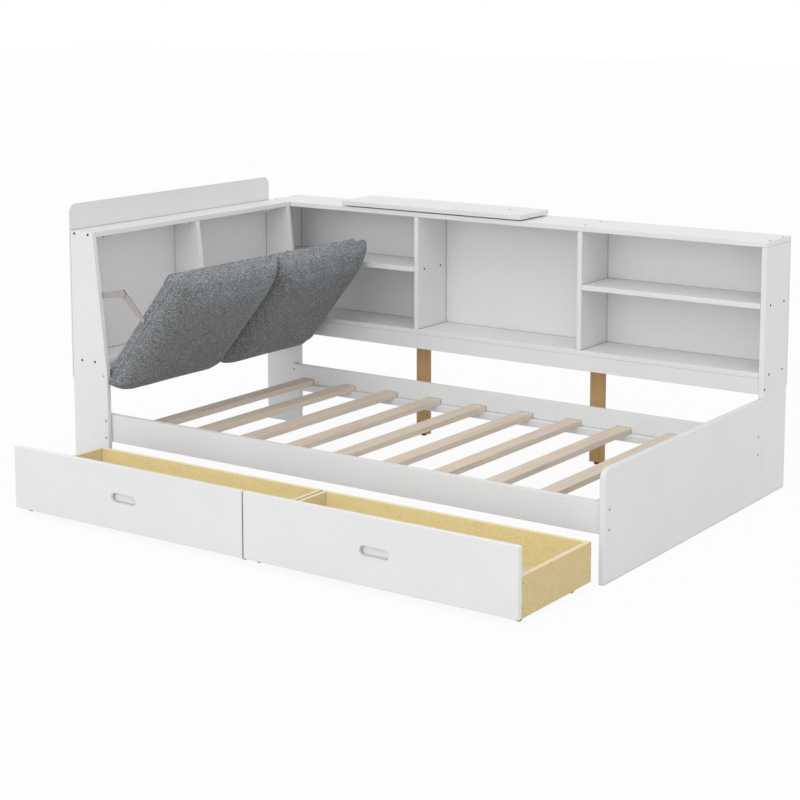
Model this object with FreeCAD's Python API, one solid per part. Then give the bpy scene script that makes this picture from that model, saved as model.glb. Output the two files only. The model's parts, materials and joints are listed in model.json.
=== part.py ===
import FreeCAD, Part
import math
import os

# A twin daybed with a cabinet headboard, a bookcase along the wall side and two rolling drawers.
# Sizes are in millimetres. While it is built, X runs from the head to the foot, Y from the open
# side to the wall side and Z up, from the outer corner of the headboard on the floor.

# Boards
board = 18.0
board_ease = 1.2
fit_gap = 0.1
overrun = 1.0

# Plan of the bed
bed_width = 1091.0
mattress_bay_length = 1927.0
foot_height = 344.0
foot_corner = 30.0
foot_edge = 2.0

# Headboard cabinet
head_back_thick = 5.0
head_back_low = 358.0
head_back_high = 964.0
head_back_corner = 30.0
cabinet_depth = 160.0
cabinet_top_depth = 104.0
slope_start = 377.5
top_height = 873.0
cabinet_floor_low = 413.0
cabinet_floor_depth = 124.0
divider_low = 362.0
divider_foot_inset = 5.0

# Bookcase along the wall side
book_depth = 192.0
book_back_thick = 5.5
book_floor_low = 412.5
shelf_low = 647.0
bay_count = 3
post_width = 55.0
post_thick = 20.0
post_from_middle = 377.5
glide_radius = 11.0
glide_height = 8.0
glide_ease = 2.0

# Rails, ledgers and slats
rail_thick = 22.0
rail_low = 144.0
rail_height = 96.0
rail_lap = 23.0
ledger_side = 25.0
ledger_end_gap = 5.0
slat_count = 10
slat_width = 60.0
slat_thick = 20.0
slat_head_inset = 58.0
slat_foot_inset = 87.0
slat_end_gap = 2.0

# Tilting doors of the headboard, hinged on pins along their lower edge
pivot_depth = 143.0
pivot_height = 376.0
door_rest_deg = 38.5
door_rise = 476.5
door_drop = 14.0
door_outer_gap = 9.5
door_inner_gap = 4.0
door_pin_radius = 4.0
door_pin_depth = 10.0
pin_clearance = 0.06

# Cushion on a door. Its cover wraps round the door's edges to the back. Its rows give the height
# over the door's middle plane, overhang at the free end and at the pivot end, gaps to the side
# panel and to the divider's near face, corner radius
cover_wrap = 2.4
cover_corner = 6.0
cushion_rows = (
    (9.0, 2.4, 2.4, 7.1, 1.6, 6.0),
    (17.0, 1.5, 3.0, 7.1, 1.0, 9.0),
    (25.0, 8.0, 4.0, 6.5, -5.0, 14.0),
    (36.0, 19.5, 4.5, -5.0, -8.5, 22.0),
    (55.0, 22.0, 4.0, -7.0, -8.0, 30.0),
    (75.0, 13.5, -2.0, 1.0, 0.5, 38.0),
    (92.0, -5.0, -16.0, 18.0, 17.0, 52.0),
    (103.0, -40.0, -48.0, 52.0, 50.0, 70.0),
    (109.0, -98.0, -105.0, 108.0, 106.0, 90.0),
)
cushion_pull = 2.5
cushion_corner_steps = 4

# Folding stay at the outer side of each door
stay_anchor_depth = 108.0
stay_anchor_height = 652.0
stay_elbow_depth = 221.0
stay_elbow_height = 670.0
stay_foot_distance = 270.0
stay_plate_thick = 1.0
stay_plate_radius = 11.0
stay_plate_rise = 20.0
stay_arm_thick = 2.0
stay_arm_radius = 9.0
stay_elbow_radius = 14.0
stay_gap = 0.3
stay_pin_radius = 3.0
stay_boss_radius = 7.0
stay_rivet_radius = 4.0
stay_rivet_height = 0.8

# Magnetic catches under the cabinet's top and their strike plates on the doors
catch_width = 40.0
catch_depth = 15.0
catch_height = 12.0
catch_gap = 0.3
catch_from_side = 89.0
catch_from_divider = 24.0
catch_lip = 1.5
strike_width = 34.0
strike_height = 12.0
strike_thick = 1.0
strike_end_gap = 2.0

# Swivel board on the bookcase
swivel_length = 795.0
swivel_width = 203.0
swivel_thick = 18.0
swivel_foot_distance = 948.0
swivel_wall_gap = 1.0
swivel_pivot_from_end = 125.0
swivel_pivot_from_wall = 70.0
swivel_corner = 4.0
bearing_radius = 55.0
bearing_upper_radius = 50.0
bearing_base = 2.7
bearing_plate = 1.5
bearing_gap = 0.3
swivel_screw_radius = 3.0
swivel_screw_head = 6.0
swivel_screw_head_thick = 3.5
swivel_screw_bite = 12.0

# Rolling drawers, drawn out as far as they stand in use
drawer_travel = 440.0
drawer_end_gap = 2.0
drawer_mid_gap = 4.0
drawer_front_low = 20.0
drawer_front_height = 206.0
drawer_board = 15.0
drawer_box_low = 18.0
drawer_box_height = 120.0
drawer_box_depth = 386.0
drawer_box_inset = 2.0
drawer_bottom_thick = 5.0
drawer_bottom_rise = 12.0
drawer_groove = 6.0
slot_length = 104.0
slot_height = 32.0
slot_depth = 14.0
drawer_ease = 0.8

# Casters under a drawer
wheel_radius = 13.0
wheel_width = 12.0
axle_radius = 2.5
axle_clearance = 0.06
caster_front_inset = 28.0
caster_back_inset = 72.0
caster_side_gap = 1.0
caster_sheet = 1.5
caster_wheel_gap = 0.5
caster_plate_length = 21.0
caster_cheek_drop = 6.0

# Places that follow from the sizes above
vector = FreeCAD.Vector
x_head = head_back_thick
x_bed = x_head + cabinet_depth
x_foot = x_bed + mattress_bay_length
length = x_foot + board
y_book = bed_width
y_wall = y_book + book_depth
y_back = y_wall + book_back_thick
cabinet_middle = bed_width / 2
divider_near = cabinet_middle - board / 2
divider_far = cabinet_middle + board / 2
inner_far = bed_width - board
board_under_top = top_height - board
rail_high = rail_low + rail_height
ledger_high = rail_low + ledger_side
pivot_x = x_head + pivot_depth
x_top_front = x_head + cabinet_top_depth
door_closed_deg = -math.degrees(math.atan2(x_bed - x_top_front, top_height - slope_start))
door_travel_deg = door_rest_deg - door_closed_deg

nodes = {}


# Solids
def box(x0, x1, y0, y1, z0, z1):
    return Part.makeBox(x1 - x0, y1 - y0, z1 - z0, vector(x0, y0, z0))


def eased(solid, size):
    return solid.makeChamfer(size, solid.Edges)


def panel(x0, x1, y0, y1, z0, z1):
    return eased(box(x0, x1, y0, y1, z0, z1), board_ease)


def plate_along_y(points, y0, y1):
    wire = Part.makePolygon([vector(x, y0, z) for x, z in points + points[:1]])
    return Part.Face(wire).extrude(vector(0, y1 - y0, 0))


def rod(radius, start, end):
    return Part.makeCylinder(radius, (end - start).Length, start, end - start)


def ring_along_x(outer, inner, x0, x1, y, z):
    start = vector(x0, y, z)
    end = vector(x1, y, z)
    return rod(outer, start, end).cut(rod(inner, start, end))


def group(solids):
    return Part.makeCompound(solids)


def mirrored(shape):
    return shape.mirror(vector(0, cabinet_middle, 0), vector(0, 1, 0))


def upright_edges(solid):
    return [edge for edge in solid.Edges if edge.Vertexes[0].Point.sub(edge.Vertexes[1].Point).z != 0]


# Headboard cabinet
def cabinet_side(y0, y1, front, low):
    outline = [
        (x_head, low),
        (front, low),
        (front, slope_start),
        (x_top_front, top_height),
        (x_head, top_height),
    ]
    return eased(plate_along_y(outline, y0, y1), board_ease)


def cabinet_divider():
    slope = (x_bed - x_top_front) / (top_height - slope_start)
    outline = [
        (x_head, divider_low),
        (x_bed - divider_foot_inset, divider_low),
        (x_bed - divider_foot_inset, slope_start),
        (x_bed, slope_start),
        (x_bed - slope * (board_under_top - slope_start), board_under_top),
        (x_head, board_under_top),
    ]
    return plate_along_y(outline, divider_near, divider_far)


def headboard_back():
    plate = box(0, head_back_thick, 0, bed_width, head_back_low, head_back_high)
    corners = [
        edge for edge in plate.Edges
        if edge.BoundBox.ZMin > head_back_high - head_back_corner
        and edge.BoundBox.YLength < head_back_thick
        and edge.BoundBox.XLength > head_back_thick / 2
    ]
    return plate.makeFillet(head_back_corner, corners)


def headboard():
    nodes["headboard_back"] = headboard_back()
    nodes["headboard_side_near"] = cabinet_side(0, board, x_bed, 0)
    nodes["headboard_side_far"] = cabinet_side(inner_far, bed_width, x_bed, 0)
    nodes["headboard_divider"] = cabinet_divider()
    nodes["headboard_top"] = panel(x_head, x_top_front, board, inner_far, board_under_top, top_height)
    floor_front = x_head + cabinet_floor_depth
    floor_high = cabinet_floor_low + board
    nodes["headboard_floor"] = group([
        panel(x_head, floor_front, board, divider_near, cabinet_floor_low, floor_high),
        panel(x_head, floor_front, divider_far, inner_far, cabinet_floor_low, floor_high),
    ])


# Bookcase: two sides to the floor, a top over them, dividers, shelves, an apron and a thin back
def bookcase():
    inner_length = length - board - board
    bay = (inner_length - (bay_count - 1) * board) / bay_count
    floor_high = book_floor_low + board
    shelf_high = shelf_low + board
    nodes["bookcase_side_left"] = panel(0, board, y_book, y_wall, 0, board_under_top)
    nodes["bookcase_side_right"] = panel(x_foot, length, y_book, y_wall, 0, board_under_top)
    nodes["bookcase_top"] = panel(0, length, y_book, y_wall, board_under_top, top_height)
    nodes["bookcase_floor"] = panel(board, x_foot, y_book, y_wall, book_floor_low, floor_high)
    nodes["bookcase_apron"] = panel(
        board, x_foot, y_book, y_book + board, head_back_low, book_floor_low)
    nodes["bookcase_back"] = box(0, length, y_wall, y_back, head_back_low, top_height)
    left = board + bay
    right = x_foot - bay - board
    nodes["bookcase_divider_left"] = panel(
        left, left + board, y_book, y_wall, floor_high, board_under_top)
    nodes["bookcase_divider_right"] = panel(
        right, right + board, y_book, y_wall, floor_high, board_under_top)
    nodes["bookcase_shelf_left"] = panel(board, left, y_book, y_wall, shelf_low, shelf_high)
    nodes["bookcase_shelf_right"] = panel(right + board, x_foot, y_book, y_wall, shelf_low, shelf_high)


def leg_posts():
    y_middle = y_book + book_depth / 2
    posts = []
    glides = []
    for side in (-1, 1):
        x = length / 2 + side * post_from_middle
        posts.append(panel(
            x - post_width / 2, x + post_width / 2,
            y_middle - post_thick / 2, y_middle + post_thick / 2,
            glide_height, book_floor_low))
        glide = Part.makeCylinder(glide_radius, glide_height, vector(x, y_middle, 0))
        lower = [edge for edge in glide.Edges if edge.BoundBox.ZMax < glide_ease]
        glides.append(glide.makeChamfer(glide_ease, lower))
    nodes["leg_posts"] = group(posts)
    nodes["post_glides"] = group(glides)


# Foot panel, rails, ledgers and slats
def foot_panel():
    plate = box(x_foot, length, 0, bed_width, 0, foot_height)
    corner = [
        edge for edge in plate.Edges
        if edge.BoundBox.ZMin > foot_height / 2 and edge.BoundBox.YMax < bed_width / 2
        and edge.BoundBox.XLength > board / 2
    ]
    plate = plate.makeFillet(foot_corner, corner)
    rim = [
        edge for edge in plate.Edges
        if edge.BoundBox.XLength < board / 2 and edge.BoundBox.YMin < bed_width / 2
        and edge.BoundBox.ZMax > foot_edge
    ]
    nodes["foot_panel"] = plate.makeChamfer(foot_edge, rim)


def rails():
    start = x_bed - rail_lap
    near_face = board + rail_thick
    far_face = inner_far - rail_thick
    nodes["rail_front"] = panel(start, x_foot, board, near_face, rail_low, rail_high)
    nodes["rail_rear"] = panel(start, x_foot, far_face, inner_far, rail_low, rail_high)
    x0 = x_bed + ledger_end_gap
    x1 = x_foot - ledger_end_gap
    nodes["ledgers"] = group([
        panel(x0, x1, near_face, near_face + ledger_side, rail_low, ledger_high),
        panel(x0, x1, far_face - ledger_side, far_face, rail_low, ledger_high),
    ])
    slat_pitch = (mattress_bay_length - slat_head_inset - slat_foot_inset) / (slat_count - 1)
    slats = []
    for index in range(slat_count):
        x = x_bed + slat_head_inset + index * slat_pitch
        slats.append(panel(
            x - slat_width / 2, x + slat_width / 2,
            near_face + slat_end_gap, far_face - slat_end_gap,
            ledger_high, ledger_high + slat_thick))
    nodes["slats"] = group(slats)


# Tilting doors. They are built upright over the pivot, with their inner face towards the head,
# and turned to rest. The outer edge of the near door is beside the near side panel.
door_y0 = board + door_outer_gap
door_y1 = divider_near - door_inner_gap


def tilt(shape):
    shape = shape.copy()
    shape.translate(vector(pivot_x, 0, pivot_height))
    shape.rotate(vector(pivot_x, 0, pivot_height), vector(0, 1, 0), door_rest_deg)
    return shape


def door_point(reach, angle_deg):
    angle = math.radians(angle_deg)
    return vector(pivot_x + reach * math.sin(angle), 0, pivot_height + reach * math.cos(angle))


def door_board():
    half = board / 2
    plate = eased(box(-half, half, door_y0, door_y1, -door_drop, door_rise), board_ease)
    for y, way in ((door_y0, 1), (door_y1, -1)):
        end = y + way * (door_pin_depth + fit_gap)
        hole = rod(door_pin_radius + pin_clearance, vector(0, y - way * overrun, 0), vector(0, end, 0))
        plate = plate.cut(hole)
    return tilt(plate)


def cushion_ring(row):
    """A rounded rectangle whose sides pull in between its corners, at one height over the door."""
    height, top_over, low_over, side_gap, divider_gap, radius = row
    pull = cushion_pull if height > board else 0
    z0 = -door_drop - low_over
    z1 = door_rise + top_over
    y0 = board + side_gap
    y1 = divider_near - divider_gap
    z_mid = (z0 + z1) / 2
    y_mid = (y0 + y1) / 2
    # Each corner's centre, and the pulled-in middle of the side that follows it
    corners = (
        (y1 - radius, z0 + radius, y1 - pull, z_mid),
        (y1 - radius, z1 - radius, y_mid, z1 - pull),
        (y0 + radius, z1 - radius, y0 + pull, z_mid),
        (y0 + radius, z0 + radius, y_mid, z0 + pull),
    )
    quarter = math.pi / 2
    points = []
    for index, (y, z, y_side, z_side) in enumerate(corners):
        for step in range(cushion_corner_steps + 1):
            angle = quarter * (index - 1 + step / cushion_corner_steps)
            points.append(vector(height, y + radius * math.cos(angle), z + radius * math.sin(angle)))
        points.append(vector(height, y_side, z_side))
    return points


def flat_face(points):
    return Part.Face(Part.makePolygon(points + points[:1]))


def solid_through(rings):
    """A closed solid of flat facets through rings that have the same number of points."""
    faces = [flat_face(rings[0]), flat_face(rings[-1])]
    for lower, upper in zip(rings, rings[1:]):
        for index, (a, d) in enumerate(zip(lower, upper)):
            b = lower[index - 1]
            c = upper[index - 1]
            faces.append(flat_face([a, b, c]))
            faces.append(flat_face([a, c, d]))
    return Part.makeSolid(Part.makeShell(faces))


def cushion():
    half = board / 2
    y0 = door_y0 - cover_wrap
    y1 = door_y1 + cover_wrap
    cover = box(-half, half, y0, y1, -door_drop - cover_wrap, door_rise + cover_wrap)
    corners = [edge for edge in cover.Edges if edge.BoundBox.XLength > half]
    cover = cover.makeFillet(cover_corner, corners)
    pad = cover.fuse(solid_through([cushion_ring(row) for row in cushion_rows]))
    pad = pad.cut(box(-half - overrun, half, door_y0, door_y1, -door_drop, door_rise))
    wide = door_pin_radius + fit_gap
    for a, b in ((y0 - overrun, door_y0), (door_y1, y1 + overrun)):
        pad = pad.cut(rod(wide, vector(0, a, 0), vector(0, b, 0)))
    boss_hole = rod(
        stay_boss_radius + fit_gap,
        vector(0, y0 - overrun, stay_foot_distance), vector(0, door_y0, stay_foot_distance))
    return tilt(pad.cut(boss_hole))


# Stay: a plate on the side panel, an upper arm on it, a lower arm on the door's edge. The arms
# meet at the elbow in two layers side by side.
plate_y = board + stay_plate_thick
upper_y0 = plate_y + stay_gap
upper_y1 = upper_y0 + stay_arm_thick
lower_y0 = upper_y1 + stay_gap
lower_y1 = lower_y0 + stay_arm_thick
stay_anchor = vector(x_head + stay_anchor_depth, 0, stay_anchor_height)
stay_elbow = vector(x_head + stay_elbow_depth, 0, stay_elbow_height)
stay_foot = door_point(stay_foot_distance, door_rest_deg)


def tapered_link(start, end, start_radius, end_radius, y0, y1):
    """A flat link with round ends of two sizes, joined by their outer tangents."""
    along = end - start
    reach = along.Length
    heading = math.atan2(along.z, along.x)
    spread = math.acos((start_radius - end_radius) / reach)
    corners = []
    for centre, radius, sign in (
            (start, start_radius, 1), (start, start_radius, -1),
            (end, end_radius, -1), (end, end_radius, 1)):
        angle = heading + sign * spread
        corners.append((centre.x + radius * math.cos(angle), centre.z + radius * math.sin(angle)))
    web = plate_along_y(corners, y0, y1)
    for centre, radius in ((start, start_radius), (end, end_radius)):
        web = web.fuse(rod(radius, vector(centre.x, y0, centre.z), vector(centre.x, y1, centre.z)))
    return web.removeSplitter()


def rod_across(centre, radius, y0, y1):
    return rod(radius, vector(centre.x, y0, centre.z), vector(centre.x, y1, centre.z))


def stay_plate():
    upper = stay_anchor + vector(0, 0, stay_plate_rise)
    plate = tapered_link(stay_anchor, upper, stay_plate_radius, stay_plate_radius, board, plate_y)
    pin = rod_across(stay_anchor, stay_pin_radius, plate_y, upper_y1)
    return plate.fuse(pin)


def stay_upper():
    arm = tapered_link(stay_anchor, stay_elbow, stay_arm_radius, stay_elbow_radius, upper_y0, upper_y1)
    hole = rod_across(
        stay_anchor, stay_pin_radius + pin_clearance, upper_y0 - overrun, upper_y1 + overrun)
    return arm.cut(hole)


def stay_lower():
    arm = tapered_link(stay_elbow, stay_foot, stay_elbow_radius, stay_arm_radius, lower_y0, lower_y1)
    hole = rod_across(stay_foot, stay_pin_radius + pin_clearance, lower_y0 - overrun, lower_y1 + overrun)
    rivet = rod_across(stay_elbow, stay_rivet_radius, lower_y1, lower_y1 + stay_rivet_height)
    return arm.cut(hole).fuse(rivet)


def catch_places():
    """Middles of the near door's two catches along Y."""
    return (board + catch_from_side, divider_near - catch_from_divider)


def door_fittings():
    boss = rod_across(stay_foot, stay_boss_radius, lower_y1 + stay_gap, door_y0)
    pin = rod_across(stay_foot, stay_pin_radius, lower_y0, lower_y1 + stay_gap)
    solids = [boss.fuse(pin)]
    for y in catch_places():
        high = door_rise - strike_end_gap
        plate = box(
            -board / 2 - strike_thick, -board / 2,
            y - strike_width / 2, y + strike_width / 2,
            high - strike_height, high)
        solids.append(tilt(plate))
    return group(solids)


def catch(y):
    """A catch whose nose ends just short of its strike plate when the door is closed."""
    closed = math.radians(door_closed_deg)
    strike_reach = door_rise - strike_end_gap
    strike_depth = board / 2 + strike_thick
    strike_x = pivot_x + strike_reach * math.sin(closed) - strike_depth * math.cos(closed)
    front = strike_x - catch_gap
    low = board_under_top - catch_height
    body = box(
        front - catch_depth, front - catch_lip,
        y - catch_width / 2, y + catch_width / 2, low, board_under_top)
    body = body.makeChamfer(catch_lip, upright_edges(body))
    nose = box(
        front - catch_lip, front,
        y - catch_width / 4, y + catch_width / 4,
        low + catch_lip, board_under_top - catch_lip)
    return body.fuse(nose)


def doors():
    near = {
        "board": door_board(),
        "cushion": cushion(),
        "fittings": door_fittings(),
        "stay_upper": stay_upper(),
        "stay_lower": stay_lower(),
    }
    for name, shape in near.items():
        nodes["door_near_" + name] = shape
        nodes["door_far_" + name] = mirrored(shape)
    plate = stay_plate()
    nodes["stay_plates"] = group([plate, mirrored(plate)])
    near_catches = [catch(y) for y in catch_places()]
    nodes["door_catches"] = group(near_catches + [mirrored(solid) for solid in near_catches])


def door_pins():
    """Pins through the side panels and one through the divider, each ending inside a door."""
    pivot = vector(pivot_x, 0, pivot_height)
    outer = rod_across(pivot, door_pin_radius, 0, door_y0 + door_pin_depth)
    reach = door_inner_gap + door_pin_depth
    middle = rod_across(pivot, door_pin_radius, divider_near - reach, divider_far + reach)
    nodes["door_pivot_pins"] = group([outer, middle, mirrored(outer)])
    wide = door_pin_radius + fit_gap
    drill("headboard_side_near", rod_across(pivot, wide, -overrun, board + overrun))
    drill("headboard_side_far", rod_across(pivot, wide, inner_far - overrun, bed_width + overrun))
    drill("headboard_divider", rod_across(pivot, wide, divider_near - overrun, divider_far + overrun))


# Swivel board on a flat ring bearing
def swivel():
    x1 = length - swivel_foot_distance
    y1 = y_back - swivel_wall_gap
    x_pivot = x1 - swivel_pivot_from_end
    y_pivot = y1 - swivel_pivot_from_wall
    upper_low = top_height + bearing_base + bearing_gap
    low = upper_low + bearing_plate
    high = low + swivel_thick

    def at(z):
        return vector(x_pivot, y_pivot, z)

    base = Part.makeCylinder(bearing_radius, bearing_base, at(top_height))
    plate = Part.makeCylinder(bearing_upper_radius, bearing_plate, at(upper_low))
    slab = box(x1 - swivel_length, x1, y1 - swivel_width, y1, low, high)
    slab = slab.makeFillet(swivel_corner, upright_edges(slab))
    slab = slab.makeChamfer(board_ease, [
        edge for edge in slab.Edges if edge.BoundBox.ZLength < board_ease])
    head_low = high - swivel_screw_head_thick
    bottom = top_height - swivel_screw_bite
    screw = rod(swivel_screw_radius, at(bottom), at(head_low))
    screw = screw.fuse(rod(swivel_screw_head, at(head_low), at(high)))
    shank_hole = rod(swivel_screw_radius + pin_clearance, at(bottom - fit_gap), at(head_low))
    head_hole = rod(swivel_screw_head + fit_gap, at(head_low), at(high + overrun))
    nodes["swivel_base"] = base.cut(shank_hole)
    nodes["swivel_plate"] = plate.cut(shank_hole)
    nodes["swivel_board"] = slab.cut(shank_hole).cut(head_hole)
    nodes["swivel_screw"] = screw
    drill("bookcase_top", shank_hole)


# Drawers
def slot_pocket(x_middle, y_front, z_middle):
    """A pocket with round ends, open to the front."""
    half = slot_length / 2 - slot_height / 2
    radius = slot_height / 2
    y0 = y_front - overrun
    y1 = y_front + slot_depth
    pocket = box(
        x_middle - half, x_middle + half, y0, y1, z_middle - radius, z_middle + radius)
    for x in (x_middle - half, x_middle + half):
        pocket = pocket.fuse(rod(radius, vector(x, y0, z_middle), vector(x, y1, z_middle)))
    return pocket.removeSplitter()


def caster(x_face, way, y, axle_z, plate_z):
    """A sheet bracket with its axle, and the wheel. Its outer cheek is at x_face, way points in."""
    inner_width = wheel_width + caster_wheel_gap + caster_wheel_gap
    cheek_width = wheel_radius - caster_sheet
    y0 = y - cheek_width / 2
    y1 = y + cheek_width / 2
    cheek_low = axle_z - caster_cheek_drop
    cheeks = []
    starts = (x_face, x_face + way * (caster_sheet + inner_width))
    for start in starts:
        x0 = min(start, start + way * caster_sheet)
        cheeks.append(box(x0, x0 + caster_sheet, y0, y1, cheek_low, plate_z))
    far = starts[1] + way * caster_sheet
    x0 = min(x_face, far)
    x1 = max(x_face, far)
    plate = box(
        x0, x1, y - caster_plate_length / 2, y + caster_plate_length / 2,
        plate_z - caster_sheet, plate_z)
    half_sheet = caster_sheet / 2
    axle = rod(axle_radius, vector(x0 + half_sheet, y, axle_z), vector(x1 - half_sheet, y, axle_z))
    bracket = plate.fuse(cheeks + [axle])
    x_wheel = x0 + caster_sheet + caster_wheel_gap
    return bracket, wheel(x_wheel, y, axle_z)


def wheel(x0, y, z):
    return ring_along_x(wheel_radius, axle_radius + axle_clearance, x0, x0 + wheel_width, y, z)


def drawer(name, x0, x1):
    y_front = -drawer_travel
    y_box = y_front + board
    y_end = y_box + drawer_box_depth
    front_high = drawer_front_low + drawer_front_height
    box_high = drawer_box_low + drawer_box_height
    bottom_low = drawer_box_low + drawer_bottom_rise
    bottom_high = bottom_low + drawer_bottom_thick
    front = panel(x0, x1, y_front, y_box, drawer_front_low, front_high)
    middle = (drawer_front_low + front_high) / 2
    nodes[name + "_front"] = front.cut(slot_pocket((x0 + x1) / 2, y_front, middle))
    bx0 = x0 + drawer_box_inset
    bx1 = x1 - drawer_box_inset
    inner_x0 = bx0 + drawer_board
    inner_x1 = bx1 - drawer_board
    inner_y0 = y_box + drawer_board
    inner_y1 = y_end - drawer_board
    cavity = box(
        inner_x0 - drawer_groove - fit_gap, inner_x1 + drawer_groove + fit_gap,
        inner_y0 - drawer_groove - fit_gap, inner_y1 + drawer_groove + fit_gap,
        bottom_low, bottom_high + fit_gap)

    def side(a, b):
        return eased(box(a, b, y_box, y_end, drawer_box_low, box_high), drawer_ease).cut(cavity)

    def end(a, b):
        return eased(box(inner_x0, inner_x1, a, b, drawer_box_low, box_high), drawer_ease).cut(cavity)

    nodes[name + "_sides"] = group([side(bx0, inner_x0), side(inner_x1, bx1)])
    nodes[name + "_ends"] = group([end(y_box, inner_y0), end(inner_y1, y_end)])
    nodes[name + "_bottom"] = box(
        inner_x0 - drawer_groove, inner_x1 + drawer_groove,
        inner_y0 - drawer_groove, inner_y1 + drawer_groove,
        bottom_low, bottom_high)
    brackets = []
    places = (
        ("front", y_box + caster_front_inset),
        ("back", y_end - caster_back_inset),
    )
    sides = (
        ("left", inner_x0 + caster_side_gap, 1),
        ("right", inner_x1 - caster_side_gap, -1),
    )
    for end_name, y in places:
        for side_name, face, way in sides:
            bracket, roller = caster(face, way, y, wheel_radius, bottom_low)
            brackets.append(bracket)
            nodes[name + "_wheel_" + end_name + "_" + side_name] = roller
    nodes[name + "_casters"] = group(brackets)


def drawers():
    x0 = x_bed + drawer_end_gap
    x1 = x_foot - drawer_end_gap
    middle = (x0 + x1) / 2
    drawer("drawer_left", x0, middle - drawer_mid_gap / 2)
    drawer("drawer_right", middle + drawer_mid_gap / 2, x1)


def drill(name, cutter):
    nodes[name] = nodes[name].cut(cutter)


def main():
    os.makedirs("parts", exist_ok=True)
    headboard()
    bookcase()
    leg_posts()
    foot_panel()
    rails()
    doors()
    door_pins()
    swivel()
    drawers()
    # The origin is on the floor under the middle of the whole part at rest
    y_front = -drawer_travel
    origin = vector(length / 2, (y_front + y_back) / 2, 0)
    for name, shape in nodes.items():
        placed = shape.copy()
        placed.translate(-origin)
        placed.exportStep("parts/" + name + ".step")


main()
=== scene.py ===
import json
import math

import bmesh
import bpy
from mathutils import Matrix, Vector


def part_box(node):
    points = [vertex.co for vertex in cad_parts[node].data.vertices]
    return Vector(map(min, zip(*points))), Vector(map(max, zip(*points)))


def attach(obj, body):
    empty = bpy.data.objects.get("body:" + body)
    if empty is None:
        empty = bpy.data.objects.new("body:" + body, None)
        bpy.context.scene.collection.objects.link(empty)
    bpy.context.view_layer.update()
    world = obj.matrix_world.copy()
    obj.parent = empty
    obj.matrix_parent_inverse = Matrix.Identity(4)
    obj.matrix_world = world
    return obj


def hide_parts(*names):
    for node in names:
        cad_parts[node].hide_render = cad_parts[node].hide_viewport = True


# The finish of a storage headboard bed: painted panels, bare slats, pine drawers and two
# upholstered doors. Metres; X runs from the head to the foot, Y from the open side to the wall.

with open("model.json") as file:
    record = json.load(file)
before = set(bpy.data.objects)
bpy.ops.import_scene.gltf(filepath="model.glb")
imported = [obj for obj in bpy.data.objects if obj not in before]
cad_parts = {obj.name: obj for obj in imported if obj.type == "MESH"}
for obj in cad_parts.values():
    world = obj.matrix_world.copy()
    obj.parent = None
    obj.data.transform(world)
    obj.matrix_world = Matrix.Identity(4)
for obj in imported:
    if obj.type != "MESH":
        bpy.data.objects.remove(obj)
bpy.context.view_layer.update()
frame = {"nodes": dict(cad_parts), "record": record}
nodes = frame["nodes"]
MM = 0.001

# Sizes that the upholstery takes from the doors, in millimetres
PIVOT = Vector((-907, 0, 376))
DOOR_REST_DEG = 38.5
BOARD_HALF = 9  # the panels' boards are as thick
BOARD_ALONG = (-14, 476.5)
BOARD_ACROSS = (-396.75, 108.25)
COVER = 2.4
BED_MIDDLE_Y = 121.25

# Fasteners, in millimetres
SCREW_RADIUS = 4.1
TOP_SCREW_RADIUS = 4.4
BOLT_RADIUS = 4.6
NAIL_RADIUS = 1.8
PROUD = 0.5
BOOKCASE_ROWS = (42, 41)  # from its front edge and from its rear edge
APRON_SCREW_UP = 17
SIDE_TOP_SCREWS = (20, 84)  # from the headboard side's rear edge
SIDE_FLOOR_SCREWS = (43, 104)
BOLT_HEIGHTS = (220, 159.5)
RAIL_LAP = 13
HALF_DRAWER_BOARD = 7.5
NAIL_HEIGHTS = (48, 117)


# Small helpers
def srgb(code):
    """A hex colour as the linear values that a shader socket takes."""
    values = []
    for start in (0, 2, 4):
        v = int(code[start:start + 2], 16) / 255
        values.append(v / 12.92 if v <= 0.04045 else ((v + 0.055) / 1.055) ** 2.4)
    return (*values, 1.0)


def dimmed(code, share):
    """A hex colour with each value brought down to a share of itself."""
    return "".join("%02x" % int(int(code[i:i + 2], 16) * share) for i in (0, 2, 4))


def add(tree, kind, inputs=None, **settings):
    """Adds a node with its settings; an input is linked where it is given a socket."""
    made = tree.nodes.new(kind)
    for name, value in settings.items():
        setattr(made, name, value)
    for socket, value in (inputs or {}).items():
        if isinstance(value, bpy.types.NodeSocket):
            tree.links.new(value, made.inputs[socket])
        else:
            made.inputs[socket].default_value = value
    return made


def finish_of(name, **surface):
    """A material with a Principled surface, its tree and the Object coordinates."""
    material = bpy.data.materials.new(name)
    material.use_nodes = True
    tree = material.node_tree
    tree.nodes.clear()
    inputs = {key.replace("_", " "): value for key, value in surface.items()}
    shader = add(tree, "ShaderNodeBsdfPrincipled", inputs)
    add(tree, "ShaderNodeOutputMaterial", {"Surface": shader.outputs["BSDF"]})
    place = add(tree, "ShaderNodeTexCoord").outputs["Object"]
    return material, tree, shader, place


def ramp(tree, factor, *stops):
    made = add(tree, "ShaderNodeValToRGB", {"Fac": factor})
    elements = made.color_ramp.elements
    while len(elements) < len(stops):
        elements.new(0.5)
    for element, (position, code) in zip(elements, stops):
        element.position = position
        element.color = srgb(code)
    return made.outputs["Color"]


def painted_top_highlight(tree, tint, code):
    """Painted highlight: the top edge of a board catches the light, so a paler tone is painted
    where the face looks up.
    """
    facing = add(tree, "ShaderNodeSeparateXYZ", {
        "Vector": add(tree, "ShaderNodeNewGeometry").outputs["Normal"]})
    upward = add(tree, "ShaderNodeMapRange", {
        "Value": facing.outputs["Z"], "From Min": 0.6, "From Max": 0.9, "To Max": 0.6})
    made = add(tree, "ShaderNodeMix", {
        "Factor": upward.outputs["Result"], "A": tint, "B": srgb(code)}, data_type="RGBA")
    return made.outputs["Result"]


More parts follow.
